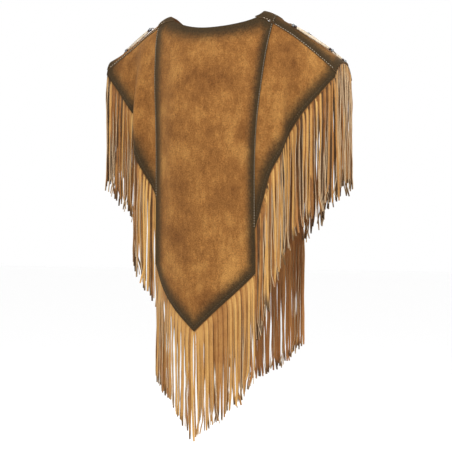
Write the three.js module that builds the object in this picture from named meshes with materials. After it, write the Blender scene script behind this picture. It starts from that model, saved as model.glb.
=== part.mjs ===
// Fringed suede poncho in the hollow form it has when worn, with no wearer. Millimetres, +Z up.
// The wearer faces +Y and the wearer's right is +X. The origin is on the shoulder ridge, midway
// between the two neck points, at the underside of the suede.
import * as THREE from "three";

// Suede and how its layers lie on each other
const SUEDE = 1.8;
const LAYER_GAP = 0.7;
const LAYER = SUEDE + LAYER_GAP;
const LAP = 8;

// Fringe: narrow strips behind the hems, with strands that part below them
const STRIP_WIDTH = 6.5;
const STRIP_SHOWS = 1.5;
const STRIP_TURN = 8;
const STRAND_WIDTH = 4.6;
const STRAND_PITCH = 6.8;
const FRONT_SIDE_PITCH = 8;
const STRAND_THICK = 1.8;
const STRAND_SWING = 4;
const SIDE_STRIP_GAP = 1;
const V_STRIP_GAP = 0.1;
const STRAND_BEND = 16;
const STRAND_LEANS = [0.7, 0.9];
const LENGTH_SPREAD = 0.04;
const SIDE_FRINGE_LENGTH = 270;
const TIP_FRINGE_LENGTH = 298;
// Fringe length along the V hems, by the share of the hem from the wearer's left to right
const V_FRINGE = [
  { share: 0, back: 262, front: 290 },
  { share: 0.25, back: 234, front: 258 },
  { share: 0.5, back: 240, front: 246 },
  { share: 0.75, back: 258, front: 264 },
  { share: 1, back: 254, front: 294 },
];

// The seam between a centre panel and a side panel, counted across the shoulder from the middle
const SEAM_ACROSS = 150;
const NECK_ACROSS = 123;
const BACK_NECK_DROP = 36;
// How round the back neckline is: half for an ellipse, 1 for a parabola
const LEFT_NECK_BEND = 1;
const RIGHT_NECK_BEND = 0.5;
const FRONT_NECK_DROP = 65;

// The shoulder ridge of each side: how far across, how far forward, how high
const RIGHT_RIDGE = [
  { across: 0, forward: 0, height: 0 },
  { across: 123, forward: 0, height: 0 },
  { across: 179, forward: 27, height: -30 },
  { across: 240, forward: 56, height: -76 },
  { across: 296, forward: 82, height: -120 },
];
const LEFT_RIDGE = [
  { across: 0, forward: 0, height: 0 },
  { across: 123, forward: 0, height: 0 },
  { across: 168, forward: 12, height: -20 },
  { across: 230, forward: 32, height: -53 },
  { across: 284, forward: 46, height: -81 },
  { across: 310, forward: 46, height: -94 },
];

// How the sheet falls from the ridge: where it hangs, and over what drop it rounds to the vertical.
// The seams behind the ridge lie below it by the left and the right seam drop.
const FORM = [
  { across: 0, back: -132, backRoll: 330, front: 205, frontRoll: 300, leftSeam: 14, rightSeam: 14 },
  { across: 75, back: -118, backRoll: 345, front: 202, frontRoll: 290, leftSeam: 14, rightSeam: 14 },
  { across: 150, back: -72, backRoll: 370, front: 187, frontRoll: 250, leftSeam: 12, rightSeam: 17 },
  { across: 190, back: -48, backRoll: 260, front: 172, frontRoll: 200, leftSeam: 10, rightSeam: 17 },
  { across: 230, back: -18, backRoll: 160, front: 158, frontRoll: 150, leftSeam: 11, rightSeam: 19 },
  { across: 265, back: 0, backRoll: 90, front: 146, frontRoll: 100, leftSeam: 15, rightSeam: 23 },
  { across: 300, back: 10, backRoll: 56, front: 134, frontRoll: 64, leftSeam: 22, rightSeam: 28 },
];

// Half the width of the centre panels, by the depth below the neck
const CENTRE_WIDTH = [
  { down: 0, back: 150, front: 150 },
  { down: 120, back: 142, front: 149 },
  { down: 290, back: 129, front: 148 },
  { down: 470, back: 127, front: 149 },
  { down: 605, back: 128, front: 150 },
  { down: 760, back: 128, front: 150 },
];

// Heights of the hems, counted across the shoulder from the middle
const V_HEM = [
  { across: 0, backLeft: -753, backRight: -753, front: -655 },
  { across: 75, backLeft: -692, backRight: -690, front: -596 },
  { across: 120, backLeft: -645, backRight: -648, front: -540 },
  { across: 150, backLeft: -596, backRight: -617, front: -505 },
];
const RIGHT_HEM = [
  { across: 150, back: -515, front: -282 },
  { across: 158, back: -479, front: -272 },
  { across: 174, back: -392, front: -254 },
  { across: 190, back: -345, front: -238 },
  { across: 208, back: -300, front: -222 },
  { across: 235, back: -238, front: -200 },
  { across: 268, back: -191, front: -179 },
  { across: 296, back: -156, front: -156 },
];
const LEFT_HEM = [
  { across: 150, back: -440, front: -282 },
  { across: 172, back: -390, front: -256 },
  { across: 191, back: -334, front: -235 },
  { across: 207, back: -291, front: -219 },
  { across: 222, back: -254, front: -204 },
  { across: 245, back: -214, front: -181 },
  { across: 276, back: -170, front: -152 },
  { across: 310, back: -128, front: -128 },
];

// Folds: a soft ridge moves out and sideways away from the middle, a trough moves the other way.
// Each begins at one depth below the neck and has its full size at another.
const FOLDS = [
  { side: "left", face: "back", across: 192, width: 20, sideways: 15, out: 23, from: 20, full: 270 },
  { side: "left", face: "back", across: 220, width: 18, sideways: -7, out: -11, from: 60, full: 240 },
  { side: "right", face: "back", across: 191, width: 14, sideways: 9, out: 9, from: 90, full: 290 },
  { side: "right", face: "back", across: 211, width: 15, sideways: -8, out: -12, from: 90, full: 270 },
  { side: "right", face: "back", across: 168, width: 10, sideways: 4, out: 5, from: 220, full: 400 },
  { side: "left", face: "front", across: 190, width: 19, sideways: 7, out: 11, from: 70, full: 250 },
  { side: "left", face: "front", across: 222, width: 19, sideways: -5, out: -8, from: 60, full: 230 },
  { side: "right", face: "front", across: 196, width: 20, sideways: 8, out: 12, from: 80, full: 260 },
  { side: "right", face: "front", across: 230, width: 19, sideways: -5, out: -8, from: 80, full: 240 },
];

// Bone tubes on the shoulders, each on a lace between a dark and a silver bead at both ends
const TUBE_LENGTH = 93;
const TUBE_RADIUS = 3.6;
const TUBE_BORE = 1.7;
const LACE_RADIUS = 1.2;
const LACE_TAIL = 9;
const BEAD_CLEAR = 0.3;
const TUBE_REST = 0.5;
const DARK_BEAD = { radius: 3.4, bore: 1.7, length: 5 };
const SILVER_BEAD = { radius: 3.9, bore: 1.7, length: 6.5 };
// The shoulder stretch beside each tube, and how far ahead of the ridge each of its ends lies
const TUBES = [
  { place: "top", from: 186, to: 262, innerAhead: -9, outerAhead: 2 },
  { place: "front", from: 206, to: 282, innerAhead: 26, outerAhead: 26 },
];

const suede = new THREE.MeshStandardMaterial({ color: 0xa6703c, roughness: 0.95, metalness: 0 });
const fringeSuede = new THREE.MeshStandardMaterial({ color: 0xbe823c, roughness: 0.95, metalness: 0 });
const bone = new THREE.MeshStandardMaterial({ color: 0xf0dcbe, roughness: 0.45, metalness: 0 });
const silver = new THREE.MeshStandardMaterial({ color: 0x969ba0, roughness: 0.3, metalness: 1 });
const darkBead = new THREE.MeshStandardMaterial({ color: 0x321e19, roughness: 0.3, metalness: 0 });
const lace = new THREE.MeshStandardMaterial({ color: 0x5a4630, roughness: 0.95, metalness: 0 });

const poncho = new THREE.Group();

function addMesh(name, geometry, material) {
  const mesh = new THREE.Mesh(geometry, material);
  mesh.name = name;
  poncho.add(mesh);
  return mesh;
}

// A smooth curve through one column of a table, level beyond both ends. It crosses the middle
// level too, unless it is pointed there.
function curveOf(rows, key, column, pointed = false) {
  const at = rows.map((row) => row[key]);
  const value = rows.map((row) => row[column]);
  const last = rows.length - 1;
  const slope = value.map((v, i) => {
    if (i === 0) return at[0] === 0 && !pointed ? 0 : (value[1] - v) / (at[1] - at[0]);
    if (i === last) return (v - value[i - 1]) / (at[i] - at[i - 1]);
    return (value[i + 1] - value[i - 1]) / (at[i + 1] - at[i - 1]);
  });
  return (x) => {
    if (x <= at[0]) return value[0];
    if (x >= at[last]) return value[last];
    const i = at.findIndex((start, k) => x < at[k + 1]);
    const span = at[i + 1] - at[i];
    const t = (x - at[i]) / span;
    const rise = t * t * (3 - 2 * t);
    const leave = t * (1 - t) * (1 - t) * span * slope[i];
    const arrive = t * t * (t - 1) * span * slope[i + 1];
    return value[i] + (value[i + 1] - value[i]) * rise + leave + arrive;
  };
}

const smoothStep = (from, to, x) => THREE.MathUtils.smoothstep(x, from, to);
const mix = THREE.MathUtils.lerp;
const form = {};
for (const column of ["back", "backRoll", "front", "frontRoll"]) form[column] = curveOf(FORM, "across", column);
const centreWidth = {
  back: curveOf(CENTRE_WIDTH, "down", "back"),
  front: curveOf(CENTRE_WIDTH, "down", "front"),
};

function sideOf(name, sign, neckBend, ridge, hem, vColumn) {
  return {
    name,
    sign,
    neckBend,
    tip: ridge.at(-1).across,
    forward: curveOf(ridge, "across", "forward"),
    height: curveOf(ridge, "across", "height"),
    seamDrop: curveOf(FORM, "across", name + "Seam"),
    backHem: curveOf(hem, "across", "back"),
    frontHem: curveOf(hem, "across", "front"),
    backV: curveOf(V_HEM, "across", vColumn, true),
    frontV: curveOf(V_HEM, "across", "front", true),
  };
}
const RIGHT = sideOf("right", 1, RIGHT_NECK_BEND, RIGHT_RIDGE, RIGHT_HEM, "backRight");
const LEFT = sideOf("left", -1, LEFT_NECK_BEND, LEFT_RIDGE, LEFT_HEM, "backLeft");
const sideAt = (across) => (across < 0 ? LEFT : RIGHT);

// The underside of the cloth. across is counted from the middle, positive on the right. along is
// counted over the shoulder from the ridge, positive down the front and negative down the back.
function cloth(across, along, side = sideAt(across)) {
  const out = Math.abs(across);
  const face = along < 0 ? "back" : "front";
  const roll = form[face + "Roll"](out);
  const turn = Math.min(Math.abs(along) / roll, Math.PI / 2);
  const hang = Math.max(0, Math.abs(along) - (roll * Math.PI) / 2);
  const drop = roll * (1 - Math.cos(turn)) + hang;
  const forward = side.forward(out);
  let y = forward + (form[face](out) - forward) * Math.sin(turn);
  const z = side.height(out) - drop;
  const width = centreWidth[face](-z);
  const beyond = Math.max(0, (out - SEAM_ACROSS) / (side.tip - SEAM_ACROSS));
  let x = out < SEAM_ACROSS ? (out * width) / SEAM_ACROSS : out + (width - SEAM_ACROSS) * (1 - beyond);
  for (const fold of FOLDS) {
    if (fold.side !== side.name || fold.face !== face) continue;
    const size = Math.exp(-(((out - fold.across) / fold.width) ** 2)) * smoothStep(fold.from, fold.full, -z);
    x += fold.sideways * size;
    y += (face === "back" ? -fold.out : fold.out) * size;
  }
  return new THREE.Vector3(side.sign * x, y, z);
}

// Where the sheet reaches a height, as a value of along
function alongAtDrop(out, drop, face) {
  const roll = form[face + "Roll"](out);
  const along = drop < roll ? roll * Math.acos(1 - Math.max(drop, 0) / roll) : (roll * Math.PI) / 2 + drop - roll;
  return face === "back" ? -along : along;
}
function alongAtHeight(across, z, face, side = sideAt(across)) {
  return alongAtDrop(Math.abs(across), side.height(Math.abs(across)) - z, face);
}
const seamAlong = (across) => alongAtDrop(Math.abs(across), sideAt(across).seamDrop(Math.abs(across)), "back");

// Directions in the sheet at one point: across it, down over it, and out of it
const STEP = 0.5;
function sheetFrame(across, along, side = sideAt(across)) {
  const origin = cloth(across, along, side);
  const acrossStep = across === 0 ? [LEFT, RIGHT] : [side, side];
  const low = cloth(across - STEP, along, acrossStep[0]);
  const high = cloth(across + STEP, along, acrossStep[1]);
  const perAcross = high.sub(low).divideScalar(2 * STEP);
  const perAlong = cloth(across, along + STEP, side).sub(cloth(across, along - STEP, side)).divideScalar(2 * STEP);
  const normal = new THREE.Vector3().crossVectors(perAcross, perAlong).normalize();
  return { origin, perAcross, perAlong, normal };
}
function lifted(across, along, height) {
  const { origin, normal } = sheetFrame(across, along);
  return origin.addScaledVector(normal, height);
}

// A closed mesh from loose triangles, turned so that its faces point out
function closedGeometry(points, triangles) {
  let volume = 0;
  for (const [a, b, c] of triangles)
    volume += points[a].dot(new THREE.Vector3().crossVectors(points[b], points[c]));
  const order = volume < 0 ? [0, 2, 1] : [0, 1, 2];
  const geometry = new THREE.BufferGeometry();
  geometry.setAttribute("position", new THREE.Float32BufferAttribute(points.flatMap((p) => p.toArray()), 3));
  geometry.setIndex(triangles.flatMap((t) => order.map((k) => t[k])));
  geometry.computeVertexNormals();
  return geometry;
}

// A panel from a grid of { across, along } cells. Cells that are null are open.
function panel(name, grid, level) {
  const points = [];
  const triangles = [];
  const corners = grid.map((row) =>
    row.map((cell) => {
      if (!cell) return null;
      const base = points.length;
      points.push(lifted(cell.across, cell.along, level * LAYER));
      points.push(lifted(cell.across, cell.along, level * LAYER + SUEDE));
      return base;
    }),
  );
  const quad = (a, b, c, d) => triangles.push([a, b, c], [a, c, d]);
  const edges = new Map();
  const useEdge = (a, b) => {
    if (!edges.delete(b + "_" + a)) edges.set(a + "_" + b, [a, b]);
  };
  for (let i = 0; i + 1 < corners.length; i++)
    for (let j = 0; j + 1 < corners[i].length; j++) {
      const loop = [corners[i][j], corners[i][j + 1], corners[i + 1][j + 1], corners[i + 1][j]];
      if (loop.includes(null)) continue;
      quad(...loop.map((k) => k + 1));
      quad(...[...loop].reverse());
      loop.forEach((k, n) => useEdge(k, loop[(n + 1) % 4]));
    }
  for (const [a, b] of edges.values()) quad(a, b, b + 1, a + 1);
  const used = [...new Set(triangles.flat())].sort((a, b) => a - b);
  const renumber = new Map(used.map((old, now) => [old, now]));
  const kept = triangles.map((t) => t.map((k) => renumber.get(k)));
  return addMesh(name, closedGeometry(used.map((k) => points[k]), kept), suede);
}

// Columns across each panel and rows down it
const HALF_COLUMNS = [18, 37, 56, 75, 94, 110, 126, 142, 150];
const CENTRE_COLUMNS = [...HALF_COLUMNS.map((out) => -out).reverse(), 0, ...HALF_COLUMNS];
const FOLD_COLUMNS = [0, 0.055, 0.11, 0.16, 0.2, 0.24, 0.28, 0.32, 0.36, 0.4, 0.44, 0.48, 0.53];
const SIDE_COLUMNS = [...FOLD_COLUMNS, 0.6, 0.68, 0.76, 0.84, 0.92, 1];
const HANG_ROWS = [0, 0.08, 0.18, 0.3, 0.43, 0.57, 0.71, 0.86, 1];
const CORNER_ROWS = [0.3, 0.65, 1];
const STRAP_ROWS = [1, 0.8, 0.6, 0.4, 0.2];
const UNDER_SEAM = 0.55;
const CORNER_GAP = 4;
const CORNER_TAPER = [118, 142];
const STRAP_FRONT_DROPS = [0, 5, 18, 42];

const sideColumns = (side) => [
  SEAM_ACROSS - LAP,
  ...SIDE_COLUMNS.map((f) => mix(SEAM_ACROSS, side.tip, f)),
].map((out) => side.sign * out);

// Back side panel: from under the front side panel's edge down to its hem
function backSideRows(across, side) {
  const top = UNDER_SEAM * seamAlong(across);
  const hem = alongAtHeight(across, side.backHem(Math.abs(across)), "back", side);
  return HANG_ROWS.map((f) => mix(top, hem, f));
}
for (const side of [LEFT, RIGHT]) {
  const columns = sideColumns(side);
  const rows = columns.map((across) => backSideRows(across, side));
  const grid = HANG_ROWS.map((f, i) => columns.map((across, j) => ({ across, along: rows[j][i] })));
  panel("back_" + side.name + "_panel", grid, 0);
}

// Back centre panel: neckline and shoulder seams at the top, V hem at the bottom. Near its top
// corners it stops at the seam, beside the front side panel's edge.
function backCentreTop(across) {
  const out = Math.abs(across);
  const seam = seamAlong(across);
  const under = mix(UNDER_SEAM * seam, seam - CORNER_GAP, smoothStep(...CORNER_TAPER, out));
  const neck = out < NECK_ACROSS ? BACK_NECK_DROP * (1 - (out / NECK_ACROSS) ** 2) ** sideAt(across).neckBend : 0;
  return Math.min(alongAtHeight(across, -neck, "back"), under);
}
const backCentreRows = CENTRE_COLUMNS.map((across) => {
  const side = sideAt(across);
  const out = Math.abs(across);
  const top = backCentreTop(across);
  const seamEnd = alongAtHeight(across, side.backHem(SEAM_ACROSS), "back");
  const hem = alongAtHeight(across, side.backV(out), "back");
  const down = HANG_ROWS.map((f) => mix(top, seamEnd, f));
  return [...down, ...CORNER_ROWS.map((f) => mix(seamEnd, hem, f))];
});
panel(
  "back_centre_panel",
  backCentreRows[0].map((_, i) => CENTRE_COLUMNS.map((across, j) => ({ across, along: backCentreRows[j][i] }))),
  1,
);

// Front side panel: from its lapped edge on the back, over the ridge, down to its hem
function frontSideRows(across, side) {
  const out = Math.abs(across);
  const hem = alongAtHeight(across, side.frontHem(out), "front", side);
  const strap = STRAP_FRONT_DROPS.slice(1).map((drop) => alongAtDrop(SEAM_ACROSS, drop, "front"));
  const seamHem = alongAtHeight(side.sign * SEAM_ACROSS, side.frontHem(SEAM_ACROSS), "front", side);
  const over = strap.map((along) => (along / seamHem) * hem);
  const rest = HANG_ROWS.slice(1).map((f) => mix(over.at(-1), hem, f));
  return [...STRAP_ROWS.map((f) => f * seamAlong(across)), 0, ...over, ...rest];
}
for (const side of [LEFT, RIGHT]) {
  const columns = sideColumns(side);
  const rows = columns.map((across) => frontSideRows(across, side));
  const grid = rows[0].map((_, i) => columns.map((across, j) => ({ across, along: rows[j][i] })));
  panel("front_" + side.name + "_panel", grid, 1);
}

// Front centre panel: two straps over the shoulders beside the neck, then the body to its V hem
function neckHalfWidth(along, side) {
  const drop = -cloth(NECK_ACROSS, along).z;
  const share = along < 0 ? (drop / BACK_NECK_DROP) ** (1 / side.neckBend) : (drop / FRONT_NECK_DROP) ** 2;
  return NECK_ACROSS * Math.sqrt(Math.max(0, 1 - share));
}
const STRAP_COLUMNS = CENTRE_COLUMNS.filter((across) => across >= 94);
function frontCentreGrid() {
  const seamRows = frontSideRows(SEAM_ACROSS, RIGHT);
  const strapCount = STRAP_ROWS.length + STRAP_FRONT_DROPS.length;
  const strap = seamRows.slice(0, strapCount - 1).map((along, i) =>
    CENTRE_COLUMNS.map((across) => {
      const out = Math.abs(across);
      if (out < STRAP_COLUMNS[0]) return null;
      const share = (out - STRAP_COLUMNS[0]) / (SEAM_ACROSS - STRAP_COLUMNS[0]);
      const onBack = i < STRAP_ROWS.length;
      const reach = onBack ? STRAP_ROWS[i] * seamAlong(Math.sign(across) * NECK_ACROSS) : along;
      const moved = Math.sign(across) * mix(neckHalfWidth(reach, sideAt(across)), SEAM_ACROSS, share);
      return { across: moved, along: onBack ? STRAP_ROWS[i] * seamAlong(moved) : along };
    }),
  );
  const body = seamRows.slice(strapCount - 1);
  const start = body[0];
  const seamEnd = body.at(-1);
  const rows = [
    ...body.map((along) => ({ share: (along - start) / (seamEnd - start), low: 0 })),
    ...CORNER_ROWS.map((low) => ({ share: 1, low })),
  ];
  const hang = rows.map(({ share, low }) =>
    CENTRE_COLUMNS.map((across) => {
      const side = sideAt(across);
      const out = Math.abs(across);
      const neckDrop = out < NECK_ACROSS ? FRONT_NECK_DROP * Math.sqrt(1 - (out / NECK_ACROSS) ** 2) : 0;
      const top = Math.max(start, alongAtHeight(across, -neckDrop, "front"));
      const end = alongAtHeight(across, side.frontHem(SEAM_ACROSS), "front");
      const hem = alongAtHeight(across, side.frontV(out), "front");
      return { across, along: mix(mix(top, end, share), hem, low) };
    }),
  );
  return [...strap, ...hang];
}
panel("front_centre_panel", frontCentreGrid(), 2);

// A fringe strip runs behind a hem on the layer below the panel. The hem is a list of
// { across, along } cells. Strands are a pitch apart in plan, and each leaves square to the hem,
// then hangs. Small uneven lengths and leans come from a fixed formula.
const uneven = (n, k) => {
  const wave = Math.sin(n * 12.9898 + k * 78.233) * 43758.5453;
  return 2 * (wave - Math.floor(wave)) - 1;
};
const DOWN = new THREE.Vector3(0, 0, -1);

function planWalk(cells) {
  const spots = cells.map((cell) => cloth(cell.across, cell.along));
  const travelled = [0];
  for (let i = 1; i < spots.length; i++)
    travelled.push(travelled[i - 1] + Math.hypot(spots[i].x - spots[i - 1].x, spots[i].y - spots[i - 1].y));
  const total = travelled.at(-1);
  const at = (distance) => {
    const d = Math.min(Math.max(distance, 0), total);
    let i = travelled.findIndex((t) => t >= d);
    i = Math.max(i, 1);
    const t = (d - travelled[i - 1]) / (travelled[i] - travelled[i - 1]);
    return {
      across: mix(cells[i - 1].across, cells[i].across, t),
      along: mix(cells[i - 1].along, cells[i].along, t),
    };
  };
  return { at, total };
}

function fringe(name, cells, level, gap, pitchWanted, lengthAt) {
  const walk = planWalk(cells);
  const count = Math.floor(walk.total / pitchWanted);
  const pitch = walk.total / count;
  const points = [];
  const triangles = [];
  const quad = (a, b, c, d) => triangles.push([a, b, c], [a, c, d]);
  // Adds a ring of corners and returns the number of its first one
  const ring = (corners) => {
    const base = points.length;
    points.push(...corners);
    return base;
  };
  const under = level * LAYER - gap;
  // The panel lies on one side of the path, the same all along it, also round a corner
  let panelSide = 0;
  // One cut across the strip: its top edge on the sheet, its lower edge just below the hem
  const cut = (distance) => {
    const cell = walk.at(distance);
    const frame = sheetFrame(cell.across, cell.along);
    const ahead = cloth(...Object.values(walk.at(distance + STRIP_TURN)));
    const behind = cloth(...Object.values(walk.at(distance - STRIP_TURN)));
    const along = ahead.sub(behind).normalize();
    const up = new THREE.Vector3().crossVectors(frame.normal, along);
    if (!panelSide) panelSide = up.dot(frame.perAlong) * cell.along > 0 ? -1 : 1;
    up.multiplyScalar(panelSide);
    const a = frame.perAcross;
    const b = frame.perAlong;
    const det = a.dot(a) * b.dot(b) - a.dot(b) ** 2;
    const move = (length) => {
      const da = (up.dot(a) * b.dot(b) - up.dot(b) * a.dot(b)) / det;
      const db = (up.dot(b) * a.dot(a) - up.dot(a) * a.dot(b)) / det;
      return sheetFrame(cell.across + da * length, cell.along + db * length, sideAt(cell.across));
    };
    const top = move(STRIP_WIDTH);
    const low = { origin: frame.origin.clone().addScaledVector(up, -STRIP_SHOWS), normal: frame.normal };
    const place = (edge, height) => edge.origin.clone().addScaledVector(edge.normal, height);
    return {
      base: ring([place(top, under), place(top, under + SUEDE), place(low, under + SUEDE), place(low, under)]),
      along,
      up,
      normal: frame.normal,
    };
  };
  const rail = (from, to, skipBottom) => {
    for (let k = 0; k < 4; k++) {
      if (skipBottom && k === 2) continue;
      const next = (k + 1) % 4;
      quad(from.base + k, from.base + next, to.base + next, to.base + k);
    }
  };
  let previous = cut(0);
  quad(previous.base + 3, previous.base + 2, previous.base + 1, previous.base);
  for (let n = 0; n < count; n++) {
    const centre = (n + 0.5) * pitch;
    const left = cut(centre - STRAND_WIDTH / 2);
    const right = cut(centre + STRAND_WIDTH / 2);
    rail(previous, left, false);
    rail(left, right, true);
    previous = right;
    // The strand's own rings, from its root between the two cuts to its end
    const root = points[left.base + 2].clone().add(points[right.base + 2]);
    root.add(points[left.base + 3]).add(points[right.base + 3]).multiplyScalar(0.25);
    const wide = right.along.clone().add(left.along).setZ(0).normalize();
    // The flat of the strand turns with it, from the sheet's own direction to facing sideways
    const thick = new THREE.Vector3().crossVectors(wide, DOWN).normalize();
    if (new THREE.Vector3().crossVectors(left.along, left.up).dot(left.normal) > 0) thick.negate();
    const away = left.up.clone().add(right.up).multiplyScalar(-0.5).setZ(0);
    const share = centre / walk.total;
    const length = lengthAt(share) * (1 + LENGTH_SPREAD * uneven(n, 1));
    const swing = away.multiplyScalar(STRAND_SWING);
    const spots = [
      { fall: STRAND_BEND, lean: 0 },
      { fall: length / 2, lean: STRAND_LEANS[0] * uneven(n, 2) },
      { fall: length, lean: STRAND_LEANS[1] * uneven(n, 3) },
    ];
    let upper = [left.base + 2, left.base + 3, right.base + 3, right.base + 2];
    for (const spot of spots) {
      const middle = root.clone().add(swing).addScaledVector(DOWN, spot.fall).addScaledVector(wide, spot.lean);
      const corner = (w, t) =>
        middle.clone().addScaledVector(wide, (w * STRAND_WIDTH) / 2).addScaledVector(thick, (t * STRAND_THICK) / 2);
      const base = ring([corner(-1, 1), corner(-1, -1), corner(1, -1), corner(1, 1)]);
      const lower = [base, base + 1, base + 2, base + 3];
      for (let k = 0; k < 4; k++) quad(upper[k], upper[(k + 1) % 4], lower[(k + 1) % 4], lower[k]);
      upper = lower;
    }
    quad(...upper);
  }
  const end = cut(walk.total);
  rail(previous, end, false);
  quad(end.base, end.base + 1, end.base + 2, end.base + 3);
  addMesh(name, closedGeometry(points, triangles), fringeSuede);
}

// Hem paths, each walked from the middle outwards or from left to right
const HEM_SAMPLES = 60;
const samples = (from, to) => Array.from({ length: HEM_SAMPLES + 1 }, (_, i) => mix(from, to, i / HEM_SAMPLES));
const V_INSET = 3;
const SIDE_START = 7;
const TIP_INSET = 1;
const TIP_STRIP_END = 0.42;

function vHem(face) {
  const reach = SEAM_ACROSS - V_INSET;
  return samples(-reach, reach).map((across) => {
    const side = sideAt(across);
    return { across, along: alongAtHeight(across, side[face + "V"](Math.abs(across)), face) };
  });
}
function sideHem(face, side, reach) {
  return samples(SEAM_ACROSS + SIDE_START, reach).map((out) => {
    const across = side.sign * out;
    return { across, along: alongAtHeight(across, side[face + "Hem"](out), face, side) };
  });
}

const vLength = (face) => curveOf(V_FRINGE, "share", face);
fringe("fringe_back_centre", vHem("back"), 0, V_STRIP_GAP, STRAND_PITCH, vLength("back"));
fringe("fringe_front_centre", vHem("front"), 1, V_STRIP_GAP, STRAND_PITCH, vLength("front"));
for (const side of [LEFT, RIGHT]) {
  const length = (share) => mix(SIDE_FRINGE_LENGTH, TIP_FRINGE_LENGTH, share * share);
  const backHem = sideHem("back", side, side.tip - TIP_INSET);
  fringe("fringe_back_" + side.name, backHem, -1, SIDE_STRIP_GAP, STRAND_PITCH, length);
  // The front strip goes on round the shoulder tip and over the ridge, up to the back panel's edge
  const hem = sideHem("front", side, side.tip - TIP_INSET);
  const last = hem.at(-1);
  const round = samples(last.along, TIP_STRIP_END * seamAlong(last.across))
    .slice(1)
    .map((along) => ({ across: last.across, along }));
  fringe("fringe_front_" + side.name, [...hem, ...round], 0, SIDE_STRIP_GAP, FRONT_SIDE_PITCH, length);
}

// A bored bead or tube, turned about its own axis
function turned(name, radius, bore, length, rounding, sides, material) {
  const half = length / 2;
  const profile = rounding
    ? [[bore, -half], [radius * 0.8, -half * 0.75], [radius, 0], [radius * 0.8, half * 0.75], [bore, half]]
    : [[bore, -half], [radius, -half], [radius, half], [bore, half]];
  const outline = [...profile, profile[0]].map(([r, y]) => new THREE.Vector2(r, y));
  return addMesh(name, new THREE.LatheGeometry(outline, sides), material);
}

// Where the cloth lies some distance ahead of the ridge in plan
function alongAhead(across, ahead) {
  const out = Math.abs(across);
  const face = ahead < 0 ? "back" : "front";
  const reach = Math.abs(form[face](out) - sideAt(across).forward(out));
  return form[face + "Roll"](out) * Math.asin(Math.max(-1, Math.min(1, ahead / reach)));
}

// A point over the line on the shoulder that a tube follows
function beside(side, tube, out, height) {
  const ahead = mix(tube.innerAhead, tube.outerAhead, (out - tube.from) / (tube.to - tube.from));
  return lifted(side.sign * out, alongAhead(side.sign * out, ahead), height);
}

// The point just above the front side panel that lies nearest below a point on the bead row
function nearestOnPanel(point, side, tube) {
  let best = null;
  for (let out = tube.from - 30; out < side.tip; out += 0.5) {
    const spot = beside(side, tube, out, LAYER + SUEDE + BEAD_CLEAR + LACE_RADIUS);
    if (!best || spot.distanceTo(point) < best.distanceTo(point)) best = spot;
  }
  return best;
}

// One tube with its beads on a lace. Its axis stands clear of the front side panel, which it
// follows from its inner to its outer end.
const LACE_SIDES = 6;
function cordGeometry(spots, radius, sides) {
  const points = [];
  const triangles = [];
  const last = spots.length - 1;
  spots.forEach((spot, i) => {
    const way = spots[Math.min(i + 1, last)].clone().sub(spots[Math.max(i - 1, 0)]).normalize();
    const across = new THREE.Vector3().crossVectors(way, DOWN).normalize();
    const over = new THREE.Vector3().crossVectors(way, across);
    for (let k = 0; k < sides; k++) {
      const angle = (2 * Math.PI * k) / sides;
      const corner = spot.clone().addScaledVector(across, radius * Math.cos(angle));
      points.push(corner.addScaledVector(over, radius * Math.sin(angle)));
    }
  });
  for (let k = 0; k < sides; k++) {
    const next = (k + 1) % sides;
    for (let i = 0; i < last; i++) {
      const near = i * sides;
      const far = near + sides;
      triangles.push([near + k, near + next, far + next], [near + k, far + next, far + k]);
    }
    if (k > 0 && next > 0) {
      triangles.push([0, next, k]);
      triangles.push([last * sides, last * sides + k, last * sides + next]);
    }
  }
  return closedGeometry(points, triangles);
}

for (const side of [LEFT, RIGHT])
  for (const tube of TUBES) {
    const label = side.name + "_" + tube.place;
    const height = LAYER + SUEDE + SILVER_BEAD.radius + TUBE_REST;
    const start = beside(side, tube, tube.from, height);
    const end = beside(side, tube, tube.to, height);
    const axis = end.clone().sub(start).normalize();
    const centre = start.clone().add(end).multiplyScalar(0.5);
    const turn = new THREE.Quaternion().setFromUnitVectors(new THREE.Vector3(0, 1, 0), axis);
    const put = (mesh, offset) => {
      mesh.quaternion.copy(turn);
      mesh.position.copy(centre).addScaledVector(axis, offset);
    };
    put(turned("bone_tube_" + label, TUBE_RADIUS, TUBE_BORE, TUBE_LENGTH, false, 10, bone), 0);
    for (const [place, way] of [["inner", -1], ["outer", 1]]) {
      const darkAt = TUBE_LENGTH / 2 + BEAD_CLEAR + DARK_BEAD.length / 2;
      const silverAt = darkAt + DARK_BEAD.length / 2 + BEAD_CLEAR + SILVER_BEAD.length / 2;
      const { radius, bore, length } = DARK_BEAD;
      put(turned(`dark_bead_${label}_${place}`, radius, bore, length, true, 8, darkBead), way * darkAt);
      const s = SILVER_BEAD;
      put(turned(`silver_bead_${label}_${place}`, s.radius, s.bore, s.length, true, 8, silver), way * silverAt);
    }
    // The lace runs through them all and turns down to the suede beyond each silver bead
    const reach = TUBE_LENGTH / 2 + DARK_BEAD.length + SILVER_BEAD.length + 3 * BEAD_CLEAR;
    const tail = (way) => {
      const leave = centre.clone().addScaledVector(axis, way * (reach + 1));
      const foot = nearestOnPanel(centre.clone().addScaledVector(axis, way * (reach + LACE_TAIL)), side, tube);
      const bend = centre.clone().addScaledVector(axis, way * (reach + 0.5 * LACE_TAIL)).lerp(foot, 0.25);
      return [leave, bend, foot];
    };
    const cord = cordGeometry([...tail(-1).reverse(), ...tail(1)], LACE_RADIUS, LACE_SIDES);
    addMesh("bead_lace_" + label, cord, lace);
  }

export default poncho;
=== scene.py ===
"""Fringed suede poncho, hollow as it hangs when worn. The tables below are in millimetres, as a
pattern cutter has them, and every mesh is written in metres."""
import math

import bmesh
import bpy
from mathutils import Matrix, Vector
from mathutils.kdtree import KDTree


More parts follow.
